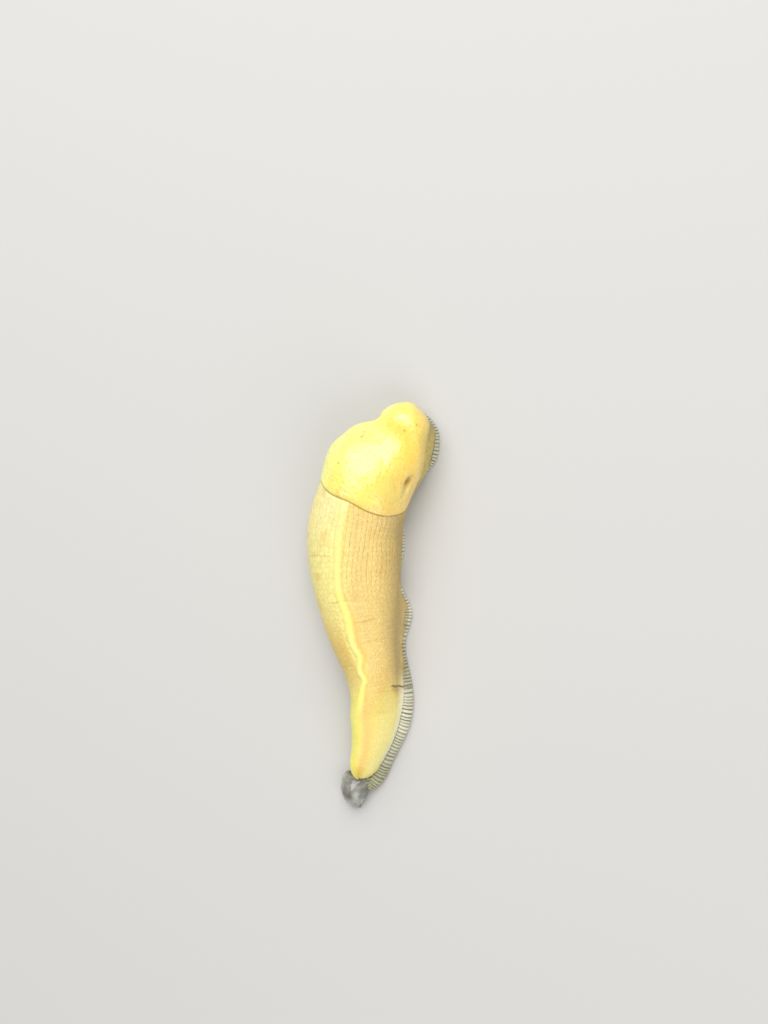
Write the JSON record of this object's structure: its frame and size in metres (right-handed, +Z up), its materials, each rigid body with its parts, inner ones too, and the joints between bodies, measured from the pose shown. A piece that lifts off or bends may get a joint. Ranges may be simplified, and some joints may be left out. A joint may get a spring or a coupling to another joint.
{
  "type": "banana slug model",
  "caption": "Life-size still model of a resting banana slug, body drawn up short under its mantle, with a frilled foot and a raised keel.",
  "frame": {"origin": "on the sole of the foot, under the middle of the trunk, at floor level", "axes": "+Y towards the head, +X to the animal's right, +Z up"},
  "size_m": [0.0367, 0.1187, 0.0216],
  "materials": {
    "mantle_skin": "smooth moist skin, bright lemon yellow, glossy",
    "trunk_skin": "moist skin with fine lengthwise grooves, dull yellow, satin",
    "tail_skin": "moist, nearly smooth skin with a raised keel, bright yellow, satin",
    "foot_skin": "moist pale cream skin, cross-grooved along the fringe, plain on the sole",
    "head_skin": "moist tan skin, finely wrinkled, satin",
    "mucus": "wet grey slime, cloudy and glossy"
  },
  "bodies": {
    "root": {"mantle_hood": "mantle_skin", "mantle_shield": "mantle_skin", "trunk_under_mantle": "trunk_skin", "neck": "head_skin", "head": "head_skin", "tentacle_upper_left": "head_skin", "tentacle_upper_right": "head_skin", "tentacle_lower_left": "head_skin", "tentacle_lower_right": "head_skin", "trunk_front": "trunk_skin", "trunk_middle": "trunk_skin", "trunk_rear": "trunk_skin", "tail_base": "tail_skin", "tail_tip": "tail_skin", "foot_head": "foot_skin", "foot_under_mantle": "foot_skin", "foot_front": "foot_skin", "foot_middle": "foot_skin", "foot_rear": "foot_skin", "foot_tail": "foot_skin", "mucus_plug": "mucus"}
  },
  "joints": []
}
